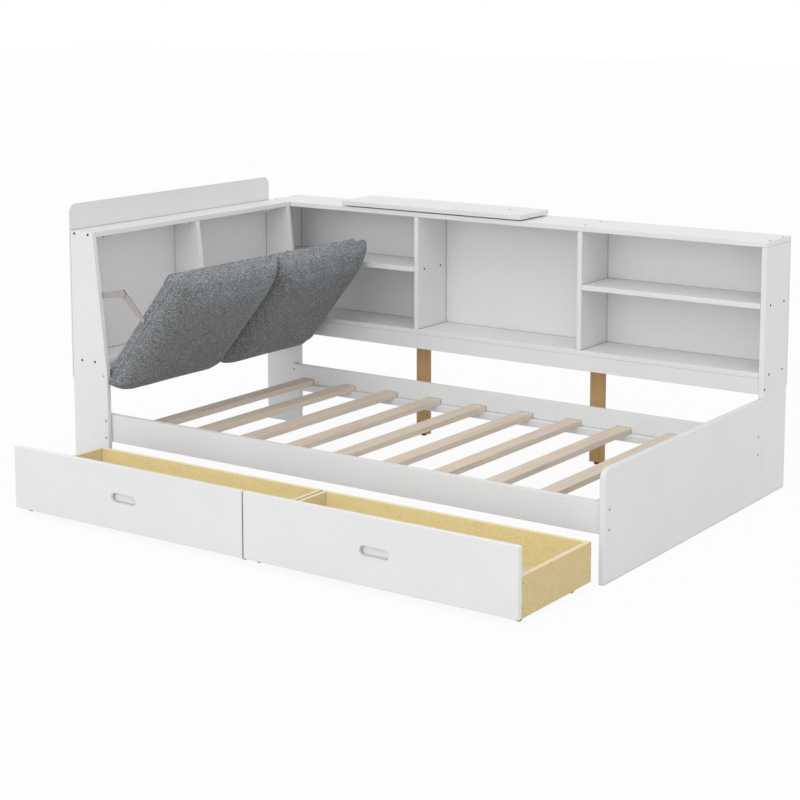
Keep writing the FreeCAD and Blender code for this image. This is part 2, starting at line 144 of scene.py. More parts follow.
def mesh_piece(name, bm, material, smooth=True):
    mesh = bpy.data.meshes.new(name)
    bm.to_mesh(mesh)
    bm.free()
    return object_of(name, mesh, material, smooth)


def object_of(name, mesh, material, smooth=True):
    mesh.materials.clear()
    mesh.materials.append(material)
    mesh.polygons.foreach_set("use_smooth", [smooth] * len(mesh.polygons))
    piece = bpy.data.objects.new(name, mesh)
    bpy.context.scene.collection.objects.link(piece)
    return piece


def plain_mesh(piece, name):
    """The piece as its modifiers leave it, in a new mesh."""
    graph = bpy.context.evaluated_depsgraph_get()
    mesh = bpy.data.meshes.new_from_object(piece.evaluated_get(graph))
    mesh.name = name
    return mesh


# Materials
def satin_paint(name, reach_mm, top_highlight=None):
    """Sprayed satin paint on fibreboard: an even white, with a faint tooth of 1.5 mm that softens
    highlights. Within the reach of a joint or an inner corner an occlusion mask greys it, which is
    painted shade: it draws the fine lines between boards and, with a longer reach, the shade in the
    drawers' handle pockets."""
    material, tree, shader, place = finish_of(name, Roughness=0.42, IOR=1.5)
    cloud = add(tree, "ShaderNodeTexNoise", {"Vector": place, "Scale": 1 / (220 * MM), "Detail": 1})
    tint = ramp(tree, cloud.outputs["Fac"], (0.3, "e7e7e7"), (0.7, "eaeaea"))
    # Painted highlight: faces that look up are given a paler tone
    if top_highlight:
        tint = painted_top_highlight(tree, tint, top_highlight)
    # Painted shade: ambient occlusion greys the paint in joints, inner corners and the handle
    # pockets
    corner = add(tree, "ShaderNodeAmbientOcclusion", {"Distance": reach_mm * MM}, samples=6)
    painted_joint_shade = ramp(tree, corner.outputs["AO"], (0.35, "bababa"), (0.92, "ffffff"))
    shaded_tint = add(tree, "ShaderNodeMix", {"Factor": 1.0, "A": tint, "B": painted_joint_shade},
                data_type="RGBA", blend_type="MULTIPLY")
    tree.links.new(shaded_tint.outputs["Result"], shader.inputs["Base Color"])
    tooth = add(tree, "ShaderNodeTexNoise", {"Vector": place, "Scale": 1 / (1.5 * MM), "Detail": 3})
    bump = add(tree, "ShaderNodeBump", {
        "Height": tooth.outputs["Fac"], "Strength": 0.06, "Distance": 0.3 * MM})
    tree.links.new(bump.outputs["Normal"], shader.inputs["Normal"])
    return material


def planed_wood(name, pale, mid, dark, along, ring_mm, board_mm, roughness, speckled=False):
    """Planed softwood: soft growth rings drawn out along one axis, other rings on each board,
    and a fine grain of 1.2 mm fibres, or of 2.4 mm specks on the drawers' boards. The light that
    it throws on its neighbours is paler than the wood, so that the white paint beside it stays
    white, as the photograph has it."""
    material, tree, shader, place = finish_of(name, Roughness=roughness, IOR=1.5)
    across = {"X": "Y", "Y": "X", "Z": "X"}[along]
    split = add(tree, "ShaderNodeSeparateXYZ", {"Vector": place})
    board = add(tree, "ShaderNodeMath", {0: split.outputs[across], 1: board_mm * MM},
                operation="SNAP")
    shift = add(tree, "ShaderNodeTexWhiteNoise", {"W": board.outputs["Value"]},
                noise_dimensions="1D")
    moved = add(tree, "ShaderNodeVectorMath", {0: place, 1: shift.outputs["Color"]},
                operation="ADD")
    drawn, fibre_mm, fibre_share, stops = (
        (0.4, 2.4, 0.9, (0.26, 0.5, 0.74)) if speckled else (0.04, 1.2, 0.55, (0.05, 0.5, 1.0)))
    stretch = tuple(drawn if axis == along else 1.0 for axis in "XYZ")
    grain = add(tree, "ShaderNodeMapping", {"Vector": moved.outputs["Vector"], "Scale": stretch})
    figure = add(tree, "ShaderNodeTexNoise", {
        "Vector": grain.outputs["Vector"], "Scale": 1 / (ring_mm * MM), "Detail": 2,
        "Roughness": 0.4, "Distortion": 0.3})
    rings = add(tree, "ShaderNodeMath", {0: figure.outputs["Fac"], 1: 4.0}, operation="MULTIPLY")
    bands = add(tree, "ShaderNodeMath", {0: rings.outputs["Value"], 1: 1.0}, operation="PINGPONG")
    fibres = add(tree, "ShaderNodeTexNoise", {
        "Vector": grain.outputs["Vector"], "Scale": 1 / (fibre_mm * MM), "Detail": 2,
        "Roughness": 0.6})
    both = add(tree, "ShaderNodeMix", {
        "Factor": fibre_share, "A": bands.outputs["Value"], "B": fibres.outputs["Fac"]})
    tint = ramp(tree, both.outputs["Result"], *zip(stops, (pale, mid, dark)))
    # Painted highlight: the drawer boards' faces that look up are given a paler cream tone
    if speckled:
        tint = painted_top_highlight(tree, tint, "fff6dd")
    path = add(tree, "ShaderNodeLightPath")
    thrown = add(tree, "ShaderNodeMath", {0: path.outputs["Is Diffuse Ray"], 1: 0.95},
                 operation="MULTIPLY")
    shown = add(tree, "ShaderNodeMix", {
        "Factor": thrown.outputs["Value"], "A": tint, "B": srgb("e8e7e6")}, data_type="RGBA")
    tree.links.new(shown.outputs["Result"], shader.inputs["Base Color"])
    bump = add(tree, "ShaderNodeBump", {
        "Height": fibres.outputs["Fac"], "Strength": 0.15, "Distance": 0.3 * MM})
    tree.links.new(bump.outputs["Normal"], shader.inputs["Normal"])
    return material


def heather_weave():
    """Heather upholstery: grey yarn with pale and dark flecks, 1.6 mm across as the eye sees
    them from two steps away, and no gloss. Painted light and shade: the colour is paler and bluer
    where the cloth looks up and a warmer, deeper grey where it looks down."""
    material, tree, shader, place = finish_of(
        "heather_weave", Roughness=0.95, IOR=1.46, Sheen_Weight=0.3, Sheen_Roughness=0.5,
        Sheen_Tint=srgb("b9c4ce"))
    wobble = add(tree, "ShaderNodeTexNoise", {"Vector": place, "Scale": 1 / (7 * MM)})
    spread = add(tree, "ShaderNodeVectorMath", {
        0: wobble.outputs["Color"], "Scale": 2.5 * MM}, operation="SCALE")
    loose = add(tree, "ShaderNodeVectorMath", {0: place, 1: spread.outputs["Vector"]},
                operation="ADD")
    flecks = add(tree, "ShaderNodeTexVoronoi", {
        "Vector": loose.outputs["Vector"], "Scale": 1 / (1.6 * MM)})
    yarn = add(tree, "ShaderNodeSeparateColor", {"Color": flecks.outputs["Color"]})
    tint = ramp(
        tree, yarn.outputs["Red"],
        (0.0, "25282a"), (0.22, "595d5f"), (0.5, "7d8082"), (0.78, "a6aaad"), (1.0, "f2f6fa"))
    patch = add(tree, "ShaderNodeTexNoise", {"Vector": place, "Scale": 1 / (45 * MM), "Detail": 2})
    shade = add(tree, "ShaderNodeMix", {
        "Factor": 0.22, "A": tint, "B": ramp(
            tree, patch.outputs["Fac"], (0.35, "73767a"), (0.65, "94989d"))}, data_type="RGBA")
    # Painted light and shade: paler and bluer where the cloth looks up, deeper grey where it looks
    # down
    facing = add(tree, "ShaderNodeSeparateXYZ", {
        "Vector": add(tree, "ShaderNodeNewGeometry").outputs["Normal"]})
    upward = add(tree, "ShaderNodeMapRange", {
        "Value": facing.outputs["Z"], "From Min": -0.65, "From Max": 0.7})
    painted_top_light = ramp(tree, upward.outputs["Result"],
               (0.0, "dcdad5"), (0.12, "e4e3df"), (0.5, "f1f2f3"), (0.85, "ffffff"))
    top_lit_tint = add(tree, "ShaderNodeMix", {
        "Factor": 1.0, "A": shade.outputs["Result"], "B": painted_top_light},
                 data_type="RGBA", blend_type="MULTIPLY")
    tree.links.new(top_lit_tint.outputs["Result"], shader.inputs["Base Color"])
    threads = add(tree, "ShaderNodeBump", {
        "Height": flecks.outputs["Distance"], "Strength": 0.5, "Distance": 0.8 * MM}, invert=True)
    tree.links.new(threads.outputs["Normal"], shader.inputs["Normal"])
    return material


def rolled_sheet_metal(name, code, roughness, metallic, grain_mm):
    """Stamped sheet: fine rolling marks along X and a slightly uneven shine."""
    material, tree, shader, place = finish_of(name, Metallic=metallic)
    marks = add(tree, "ShaderNodeMapping", {"Vector": place, "Scale": (0.1, 1.0, 1.0)})
    noise = add(tree, "ShaderNodeTexNoise", {
        "Vector": marks.outputs["Vector"], "Scale": 1 / (grain_mm * MM), "Detail": 2})
    shine = add(tree, "ShaderNodeMapRange", {
        "Value": noise.outputs["Fac"], "To Min": roughness - 0.06, "To Max": roughness + 0.08})
    tree.links.new(shine.outputs["Result"], shader.inputs["Roughness"])
    tint = ramp(tree, noise.outputs["Fac"], (0.3, dimmed(code, 0.93)), (0.7, code))
    tree.links.new(tint, shader.inputs["Base Color"])
    return material


def coated_sheet_with_painted_edge_shade():
    """Powder-coated sheet, warm grey with a fine orange peel of 1.5 mm. The edges, which face
    across Y, are painted a dark brown-grey: painted shade along the stays' edges."""
    material, tree, shader, place = finish_of("powder_coated_stay_steel", Roughness=0.5, IOR=1.5)
    peel = add(tree, "ShaderNodeTexNoise", {"Vector": place, "Scale": 1 / (1.5 * MM), "Detail": 2})
    coat = ramp(tree, peel.outputs["Fac"], (0.3, "a39d98"), (0.7, "aca6a1"))
    # Painted shade: faces that look across Y, the sheet's edges, are given a dark brown-grey
    facing = add(tree, "ShaderNodeSeparateXYZ", {
        "Vector": add(tree, "ShaderNodeNewGeometry").outputs["Normal"]})
    flat = add(tree, "ShaderNodeMath", {0: facing.outputs["Y"]}, operation="ABSOLUTE")
    edge = add(tree, "ShaderNodeMath", {0: flat.outputs["Value"], 1: 0.5}, operation="LESS_THAN")
    tint = add(tree, "ShaderNodeMix", {
        "Factor": edge.outputs["Value"], "A": coat, "B": srgb("4b433d")}, data_type="RGBA")
    tree.links.new(tint.outputs["Result"], shader.inputs["Base Color"])
    bump = add(tree, "ShaderNodeBump", {
        "Height": peel.outputs["Fac"], "Strength": 0.1, "Distance": 0.1 * MM})
    tree.links.new(bump.outputs["Normal"], shader.inputs["Normal"])
    return material


def moulded_plastic(name, code, roughness):
    """Moulded plastic with the fine spark-eroded grain of its mould, about 0.8 mm."""
    material, tree, shader, place = finish_of(name, Roughness=roughness, IOR=1.46)
    grain = add(tree, "ShaderNodeTexNoise", {"Vector": place, "Scale": 1 / (0.8 * MM), "Detail": 2})
    tint = ramp(tree, grain.outputs["Fac"], (0.3, dimmed(code, 0.94)), (0.7, code))
    tree.links.new(tint, shader.inputs["Base Color"])
    bump = add(tree, "ShaderNodeBump", {
        "Height": grain.outputs["Fac"], "Strength": 0.1, "Distance": 0.1 * MM})
    tree.links.new(bump.outputs["Normal"], shader.inputs["Normal"])
    return material


white_paint = satin_paint("satin_paint_on_fibreboard", 5)
# The drawer fronts get a longer reach of painted shade for their handle pockets and a painted
# highlight on their top edges
front_paint = satin_paint("satin_paint_on_drawer_fronts", 9, top_highlight="ffffff")
poplar = planed_wood("planed_poplar", "eadbcb", "dfcebc", "ccb8a3", "Y", 14, 198, 0.62)
post_pine = planed_wood("planed_pine_post", "caa775", "b99461", "a07a48", "Z", 8, 755, 0.55)
side_pine = planed_wood("planed_pine_sides", "e4d1a1", "dbc58e", "cfb579", "Y", 16, 60, 0.55,
                        speckled=True)
end_pine = planed_wood("planed_pine_ends", "fae6b2", "f0d999", "e1c27c", "X", 16, 60, 0.55,
                       speckled=True)
bottom_pine = planed_wood("pine_plywood", "ebdcb4", "e5d3a6", "dcc592", "X", 30, 400, 0.6)
heather = heather_weave()
coated_steel = coated_sheet_with_painted_edge_shade()
zinc_steel = rolled_sheet_metal("zinc_plated_steel", "b9bcbe", 0.38, 1.0, 2)
yellow_steel = rolled_sheet_metal("yellow_passivated_steel", "c2bba2", 0.45, 0.6, 2)
dark_steel = rolled_sheet_metal("black_oxide_steel", "1f1d1c", 0.8, 0.0, 1)
white_plastic = moulded_plastic("white_polypropylene", "e4e4e2", 0.5)
black_plastic = moulded_plastic("black_polyethylene", "232323", 0.5)
grey_plastic = moulded_plastic("grey_nylon", "d2d2d0", 0.45)

FINISHES = {
    "white_mdf": white_paint,
    "poplar": poplar,
    "pine": post_pine,
    "pine_box": side_pine,
    "pine_ply": bottom_pine,
    "heather_fabric": heather,
    "stay_steel": coated_steel,
    "pivot_steel": yellow_steel,
    "catch_plastic": white_plastic,
    "glide_plastic": black_plastic,
    "zinc_steel": zinc_steel,
    "wheel_plastic": grey_plastic,
}


def dress_frame():
    for part in frame["record"]["subparts"]:
        node = nodes[part["node"]]
        material = FINISHES[part["material_slot"]]
        if part["node"].endswith("_ends"):
            material = end_pine
        if part["node"].endswith("_fittings"):
            material = zinc_steel
        if part["node"] in ("drawer_left_front", "drawer_right_front"):
            material = front_paint
        if part["node"] == "swivel_screw":
            material = dark_steel
        node.data.materials.clear()
        node.data.materials.append(material)


# Upholstered doors. The pad is shaped in the door's own frame: X is the height over the board's
# middle, Y runs along the hinge and Z from the hinge to the free end. Its rows give the height,
# the ends along Z, the ends along Y, the corner radius and the share of the sides' pull. All
# lengths here are in millimetres.
PAD_ROWS = (
    (-9, -16.4, 478.9, -399.1, 110.6, 6, 0),
    (9, -16.4, 478.9, -399.1, 110.6, 6, 0),
    (16, -16.6, 479, -399.4, 111, 7, 0),
    (19.5, -17.6, 496, -412, 119, 15, 0),
    (25, -18.5, 507, -418, 121, 17, 0),
    (36, -19, 508, -420, 121, 22, 0),
    (55, -18.5, 503, -418, 121, 34, 0.4),
    (74, -13, 490, -406, 113, 44, 0.8),
    (89, 2, 468, -387, 95, 56, 1),
    (98, 32, 432, -355, 64, 70, 1),
    (103.5, 88, 375, -301, 8, 90, 0.6),
)
CROWN_RISE = 1.5
PAD_PULL = 3.0
ROWS_BETWEEN = 4
STEPS_ON_SIDE = 24
STEPS_ON_CORNER = 6
VOXEL = 6

# The cover is held fast near the board, up to a height and over a range below it
HELD_BELOW, HELD_OVER = 34, 16
PUFF_CAP = 7
SIM_FRAMES = 20

# The pocket in which the board lies, and what a closed door leaves room for: the panels up to
# the lip, the stay's elbow as far as it reaches, and the other door
BASE_DEPTH = 4
LINING_GAP = 0.1
COVER_CORNER, LINING_CORNER = 6, 0.5
LIP_HEIGHT = 18
ELBOW_ALONG = (338, 420)
ELBOW_HEIGHT = 23
WIDER_FROM, WIDER_OVER, WIDER_BY = 425, 25, 5
TWIN_GAP = 0.8


def smooth_rows():
    """The pad's rows with more rows between them on a Catmull-Rom curve."""
    rows = []
    for k in range(len(PAD_ROWS) - 1):
        a, b, c, d = (PAD_ROWS[min(max(k + i, 0), len(PAD_ROWS) - 1)] for i in (-1, 0, 1, 2))
        for step in range(ROWS_BETWEEN):
            t = step / ROWS_BETWEEN
            rows.append([
                0.5 * (2 * q + (r - p) * t + (2 * p - 5 * q + 4 * r - w) * t * t
                       + (3 * q - p - 3 * r + w) * t ** 3)
                for p, q, r, w in zip(a, b, c, d)])
    return rows + [PAD_ROWS[-1]]


def pad_ring(row):
    """One closed row round the pad, whose sides pull in a little between the corners."""
    height, z0, z1, y0, y1, radius, pull = row
    corners = ((y1 - radius, z0 + radius), (y1 - radius, z1 - radius),
               (y0 + radius, z1 - radius), (y0 + radius, z0 + radius))
    ring = []
    for index, (y, z) in enumerate(corners):
        for step in range(STEPS_ON_CORNER + 1):
            angle = math.pi / 2 * (index - 1 + step / STEPS_ON_CORNER)
            ring.append(Vector((
                height, y + radius * math.cos(angle), z + radius * math.sin(angle))))
        turn = math.pi / 2 * index
        outward = Vector((0, math.cos(turn), math.sin(turn)))
        y_next, z_next = corners[(index + 1) % 4]
        end = Vector((height, y_next, z_next)) + outward * radius
        start = ring[-1]
        for step in range(1, STEPS_ON_SIDE):
            share = step / STEPS_ON_SIDE
            bow = PAD_PULL * pull * math.sin(math.pi * share)
            ring.append(start.lerp(end, share) - outward * bow)
    return ring


def pad_form():
    bm = bmesh.new()
    rows = [[bm.verts.new(point * MM) for point in pad_ring(row)] for row in smooth_rows()]
    count = len(rows[0])
    for lower, upper in zip(rows, rows[1:]):
        for i in range(count):
            j = (i + 1) % count
            bm.faces.new((lower[i], lower[j], upper[j], upper[i]))
    middle = sum((v.co for v in rows[-1]), Vector()) / count
    crown = bm.verts.new(middle + Vector((CROWN_RISE * MM, 0, 0)))
    for i in range(count):
        bm.faces.new((rows[-1][i], rows[-1][(i + 1) % count], crown))
    bm.faces.new(rows[0][::-1])
    bmesh.ops.recalc_face_normals(bm, faces=bm.faces)
    return bm


def inflate(form):
    """A short cloth simulation: the foam presses the cover out where it isn't held to the board."""
    pad = object_of("pad_cover", form, heather)
    start = [v.co.copy() for v in form.vertices]
    held = pad.vertex_groups.new(name="held")
    for i, place in enumerate(start):
        share = (HELD_BELOW * MM - place.x) / (HELD_OVER * MM)
        if share > 0:
            held.add([i], min(share, 1.0), "REPLACE")
    cloth = pad.modifiers.new("cover", "CLOTH")
    settings = cloth.settings
    settings.quality = 5
    settings.mass = 0.3
    settings.tension_stiffness = 15
    settings.compression_stiffness = 15
    settings.bending_stiffness = 0.5
    settings.use_pressure = True
    settings.uniform_pressure_force = 4
    settings.vertex_group_mass = "held"
    settings.effector_weights.gravity = 0
    cloth.point_cache.frame_start = 1
    cloth.point_cache.frame_end = SIM_FRAMES
    for number in range(1, SIM_FRAMES + 1):
        bpy.context.scene.frame_set(number)
    swollen = plain_mesh(pad, "pad_swollen")
    for vertex, before in zip(swollen.vertices, start):
        move = vertex.co - before
        if move.length > PUFF_CAP * MM:
            vertex.co = before + move * (PUFF_CAP * MM / move.length)
    bpy.context.scene.frame_set(1)
    bpy.data.objects.remove(pad)
    return swollen


def inset_point(point, height, margin):
    """The nearest point of the board's outline, grown by a margin, at the given height."""
    y0, y1 = (BOARD_ACROSS[0] - margin) * MM, (BOARD_ACROSS[1] + margin) * MM
    z0, z1 = (BOARD_ALONG[0] - margin) * MM, (BOARD_ALONG[1] + margin) * MM
    radius = (COVER_CORNER if margin == COVER else LINING_CORNER) * MM
    y = min(max(point.y, y0 + radius), y1 - radius)
    z = min(max(point.z, z0 + radius), z1 - radius)
    if y in (y0 + radius, y1 - radius) and z in (z0 + radius, z1 - radius):
        away = Vector((0, point.y - y, point.z - z))
        away = away.normalized() * radius if away.length > 0 else away
        return Vector((height, y + away.y, z + away.z))
    gaps = ((y - y0, 0, y0), (y1 - y, 0, y1), (z - z0, 1, z0), (z1 - z, 1, z1))
    _, axis, edge = min(gaps)
    return Vector((height, edge, z)) if axis == 0 else Vector((height, y, edge))


def open_for_board(bm):
    """Takes the pad's flat base off and lines the pocket in which the board lies."""
    base = -BOARD_HALF * MM
    bmesh.ops.delete(bm, geom=[v for v in bm.verts if v.co.x < base + BASE_DEPTH * MM],
                     context="VERTS")
    steps = ((base, COVER), (base, LINING_GAP), (BOARD_HALF * MM, LINING_GAP))
    for height, margin in steps:
        rim = [edge for edge in bm.edges if edge.is_boundary]
        made = bmesh.ops.extrude_edge_only(bm, edges=rim)["geom"]
        for vertex in made:
            if isinstance(vertex, bmesh.types.BMVert):
                vertex.co = inset_point(vertex.co, height, margin)
    bmesh.ops.holes_fill(bm, edges=[edge for edge in bm.edges if edge.is_boundary], sides=0)
    bmesh.ops.recalc_face_normals(bm, faces=bm.faces)


def on_door(point):
    """From the door's own frame to its place at rest."""
    angle = math.radians(DOOR_REST_DEG)
    return Vector((
        PIVOT.x * MM + point.z * math.sin(angle) + point.x * math.cos(angle),
        point.y,
        PIVOT.z * MM + point.z * math.cos(angle) - point.x * math.sin(angle)))


def upholster_doors():
    pad = mesh_piece("pad_form", pad_form(), heather)
    remesh = pad.modifiers.new("voxels", "REMESH")
    remesh.mode = "VOXEL"
    remesh.voxel_size = VOXEL * MM
    form = plain_mesh(pad, "pad_remeshed")
    bpy.data.objects.remove(pad)
    form = inflate(form)
    pad = object_of("pad", form, heather)
    relax = pad.modifiers.new("relax", "SMOOTH")
    relax.factor = 0.5
    relax.iterations = 2
    finer = pad.modifiers.new("finer", "SUBSURF")
    finer.levels = 1
    finer.render_levels = 1
    bm = bmesh.new()
    bm.from_mesh(plain_mesh(pad, "pad_finer"))
    bpy.data.objects.remove(pad)
    open_for_board(bm)
    limit = (BED_MIDDLE_Y - TWIN_GAP) * MM
    top, outer, inner = (value * MM for value in PAD_ROWS[0][2:5])
    for vertex in bm.verts:
        vertex.co.y = min(vertex.co.y, limit)
        # Under the lip the pad stays between the panels when the door is closed, and leaves
        # more room where the stay's elbow folds in
        elbow = vertex.co.y < 0 and ELBOW_ALONG[0] * MM < vertex.co.z < ELBOW_ALONG[1] * MM
        if vertex.co.x < (ELBOW_HEIGHT if elbow else LIP_HEIGHT) * MM:
            vertex.co.y = min(max(vertex.co.y, outer), inner)
            vertex.co.z = min(vertex.co.z, top)
            # Past the stay's reach its outer end fills the room up to the panel
            if vertex.co.y < outer + 1 * MM:
                share = min(max((vertex.co.z / MM - WIDER_FROM) / WIDER_OVER, 0), 1)
                vertex.co.y -= WIDER_BY * MM * share
        vertex.co = on_door(vertex.co)
    twin = bm.copy()
    for vertex in twin.verts:
        vertex.co.y = 2 * BED_MIDDLE_Y * MM - vertex.co.y
    bmesh.ops.reverse_faces(twin, faces=twin.faces)
    for side, shape in (("near", bm), ("far", twin)):
        piece = mesh_piece("cushion_" + side, shape, heather)
        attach(piece, "door_" + side)
        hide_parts("door_%s_cushion" % side)


# Fasteners: a head is made once and a node tree sets it on every spot. The Random Value node has
# sockets of one name for each type of number, so the float's are given by their place.
RANDOM_MAX = 3
RANDOM_VALUE = 1


def recessed_head(name, recess, depth):
    """A flat head of radius 1 whose face has a recess with the given outline."""
    bm = bmesh.new()
    around = 20
    angles = [2 * math.pi * i / around for i in range(around)]
    rim = [bm.verts.new((math.cos(angle), math.sin(angle), 0.0)) for angle in angles]
    mouth = [bm.verts.new((x, y, 0.0)) for x, y in recess]
    edges = [bm.edges.new((loop[i], loop[(i + 1) % len(loop)])) for loop in (rim, mouth)
             for i in range(len(loop))]
    bmesh.ops.bridge_loops(bm, edges=edges)
    floor = [bm.verts.new((v.co.x, v.co.y, -depth)) for v in mouth]
    for i in range(len(mouth)):
        j = (i + 1) % len(mouth)
        bm.faces.new((mouth[i], mouth[j], floor[j], floor[i]))
    bm.faces.new(floor)
    foot = [bm.verts.new((v.co.x, v.co.y, -0.4)) for v in rim]
    for i in range(around):
        j = (i + 1) % around
        bm.faces.new((rim[j], rim[i], foot[i], foot[j]))
    bm.faces.new(foot[::-1])
    bmesh.ops.recalc_face_normals(bm, faces=bm.faces)
    return mesh_piece(name, bm, dark_steel, smooth=False)


def cross_outline(arm, half):
    """A cross of four arms, counter-clockwise."""
    points = []
    for quarter in range(4):
        turn = Matrix.Rotation(quarter * math.pi / 2, 2)
        for corner in ((arm, -half), (arm, half), (half, half)):
            points.append(tuple(turn @ Vector(corner)))
    return points


def hexagon_outline(radius):
    angles = [math.pi / 3 * i for i in range(6)]
    return [(radius * math.cos(angle), radius * math.sin(angle)) for angle in angles]


def head_tree():
    """Sets a head on each spot, square to the face it lies in and turned at random."""
    tree = bpy.data.node_groups.new("set_heads", "GeometryNodeTree")
    face = tree.interface
    face.new_socket("Spots", in_out="INPUT", socket_type="NodeSocketGeometry")
    face.new_socket("Head", in_out="INPUT", socket_type="NodeSocketObject")
    face.new_socket("Radius", in_out="INPUT", socket_type="NodeSocketFloat")
    face.new_socket("Proud", in_out="INPUT", socket_type="NodeSocketFloat")
    face.new_socket("Finish", in_out="INPUT", socket_type="NodeSocketMaterial")
    face.new_socket("Heads", in_out="OUTPUT", socket_type="NodeSocketGeometry")
    given = add(tree, "NodeGroupInput")
    out = add(tree, "GeometryNodeInputNamedAttribute", {"Name": "outward"},
              data_type="FLOAT_VECTOR")
    outward = out.outputs["Attribute"]
    square = add(tree, "FunctionNodeAlignRotationToVector", {"Vector": outward}, axis="Z")
    lift = add(tree, "ShaderNodeVectorMath", {0: outward, "Scale": given.outputs["Proud"]},
               operation="SCALE")
    raised = add(tree, "GeometryNodeSetPosition", {
        "Geometry": given.outputs["Spots"], "Offset": lift.outputs["Vector"]})
    head = add(tree, "GeometryNodeObjectInfo", {"Object": given.outputs["Head"]})
    placed = add(tree, "GeometryNodeInstanceOnPoints", {
        "Points": raised.outputs["Geometry"], "Instance": head.outputs["Geometry"],
        "Rotation": square.outputs["Rotation"], "Scale": given.outputs["Radius"]})
    turn = add(tree, "FunctionNodeRandomValue", {RANDOM_MAX: math.pi, "Seed": 7})
    spin = add(tree, "ShaderNodeCombineXYZ", {"Z": turn.outputs[RANDOM_VALUE]})
    turned = add(tree, "GeometryNodeRotateInstances", {
        "Instances": placed.outputs["Instances"], "Rotation": spin.outputs["Vector"]})
    real = add(tree, "GeometryNodeRealizeInstances", {"Geometry": turned.outputs["Instances"]})
    finish = add(tree, "GeometryNodeSetMaterial", {
        "Geometry": real.outputs["Geometry"], "Material": given.outputs["Finish"]})
    add(tree, "NodeGroupOutput", {"Heads": finish.outputs["Geometry"]})
    return tree


HEADS = head_tree()


def set_heads(name, head, spots, radius_mm, proud_mm, material, body):
    """Heads on spots, each a place in metres and the direction that its face looks."""
    mesh = bpy.data.meshes.new(name + "_spots")
    mesh.from_pydata([place for place, _ in spots], [], [])
    outward = mesh.attributes.new("outward", "FLOAT_VECTOR", "POINT")
    outward.data.foreach_set("vector", [value for _, way in spots for value in way])
    carrier = bpy.data.objects.new(name + "_carrier", mesh)
    bpy.context.scene.collection.objects.link(carrier)
    modifier = carrier.modifiers.new("heads", "NODES")
    modifier.node_group = HEADS
    values = {"Head": head, "Radius": radius_mm * MM, "Proud": proud_mm * MM, "Finish": material}
    for item in HEADS.interface.items_tree:
        if item.in_out == "INPUT" and item.name in values:
            modifier[item.identifier] = values[item.name]
    made = plain_mesh(carrier, name)
    bpy.data.objects.remove(carrier)
    piece = object_of(name, made, material, smooth=False)
    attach(piece, body)


def frame_fasteners():
    screw = recessed_head("screw_head", cross_outline(0.66, 0.2), 0.1)
    bolt = recessed_head("bolt_head", hexagon_outline(0.5), 0.08)
    up, to_foot, to_head = (0, 0, 1), (1, 0, 0), (-1, 0, 0)
    to_room, to_wall = (0, -1, 0), (0, 1, 0)

    low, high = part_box("bookcase_top")
    rows_y = (low.y + BOOKCASE_ROWS[0] * MM, high.y - BOOKCASE_ROWS[1] * MM)
    half_board = BOARD_HALF * MM
    uprights = [(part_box("bookcase_" + name)[0].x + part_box("bookcase_" + name)[1].x) / 2
                for name in ("side_left", "divider_left", "divider_right", "side_right")]
    top_screws = [((x, y, high.z), up) for x in uprights for y in rows_y]
    screws = []
    shelf_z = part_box("bookcase_shelf_right")[0].z + half_board
    floor_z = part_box("bookcase_floor")[0].z + half_board
    apron_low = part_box("bookcase_apron")[0]
    for face_x, way in ((high.x, to_foot), (low.x, to_head)):
        screws += [((face_x, y, z), way) for y in rows_y for z in (shelf_z, floor_z)]
        screws.append(((face_x, apron_low.y + half_board, apron_low.z + APRON_SCREW_UP * MM), way))
    divider_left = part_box("bookcase_divider_left")[1].x
    divider_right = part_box("bookcase_divider_right")[0].x
    screws += [((divider_left, y, shelf_z), to_foot) for y in rows_y]
    screws += [((divider_right, y, shelf_z), to_head) for y in rows_y]
    side_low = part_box("headboard_side_near")[0]
    top_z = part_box("headboard_top")[0].z + half_board
    cabinet_floor_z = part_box("headboard_floor")[0].z + half_board
    for x in SIDE_FLOOR_SCREWS:
        screws.append(((side_low.x + x * MM, side_low.y, cabinet_floor_z), to_room))
    set_heads("panel_screws", screw, screws, SCREW_RADIUS, PROUD, dark_steel, "frame")
    top_screws += [((side_low.x + x * MM, side_low.y, top_z), to_room)
                   for x in SIDE_TOP_SCREWS]
    set_heads("top_screws", screw, top_screws, TOP_SCREW_RADIUS, PROUD, dark_steel, "frame")

    rail_low, rail_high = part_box("rail_front")
    rear_low, rear_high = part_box("rail_rear")
    lap_x = rail_low.x + RAIL_LAP * MM
    foot_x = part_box("foot_panel")[1].x
    far_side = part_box("headboard_side_far")[1].y
    bolts = []
    for z in (height * MM for height in BOLT_HEIGHTS):
        bolts.append(((foot_x, (rail_low.y + rail_high.y) / 2, z), to_foot))
        bolts.append(((foot_x, (rear_low.y + rear_high.y) / 2, z), to_foot))
        bolts.append(((lap_x, side_low.y, z), to_room))
        bolts.append(((lap_x, far_side, z), to_wall))
        bolts.append(((lap_x, rear_low.y, z), to_room))
        bolts.append(((lap_x, rail_high.y, z), to_wall))
    set_heads("rail_bolts", bolt, bolts, BOLT_RADIUS, PROUD, yellow_steel, "frame")

    for side in ("left", "right"):
        sides_low, sides_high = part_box("drawer_%s_sides" % side)
        nails = []
        for x, way in ((sides_low.x, to_head), (sides_high.x, to_foot)):
            for y in (sides_low.y + HALF_DRAWER_BOARD * MM, sides_high.y - HALF_DRAWER_BOARD * MM):
                nails += [((x, y, height * MM), way) for height in NAIL_HEIGHTS]
        set_heads("drawer_%s_nails" % side, screw, nails, NAIL_RADIUS, PROUD, dark_steel,
                  "drawer_" + side)
    bpy.data.objects.remove(screw)
    bpy.data.objects.remove(bolt)


# Caster wheels, turned from a profile with a rounded tread: shares of the half width and the radius
WHEEL_PROFILE = (
    (-1, 0.2), (-1, 0.55), (-0.8, 0.6), (-0.8, 0.78), (-1, 0.83), (-0.85, 0.95), (-0.55, 1.0),
    (0.55, 1.0), (0.85, 0.95), (1, 0.83), (0.8, 0.78), (0.8, 0.6), (1, 0.55), (1, 0.2),
)


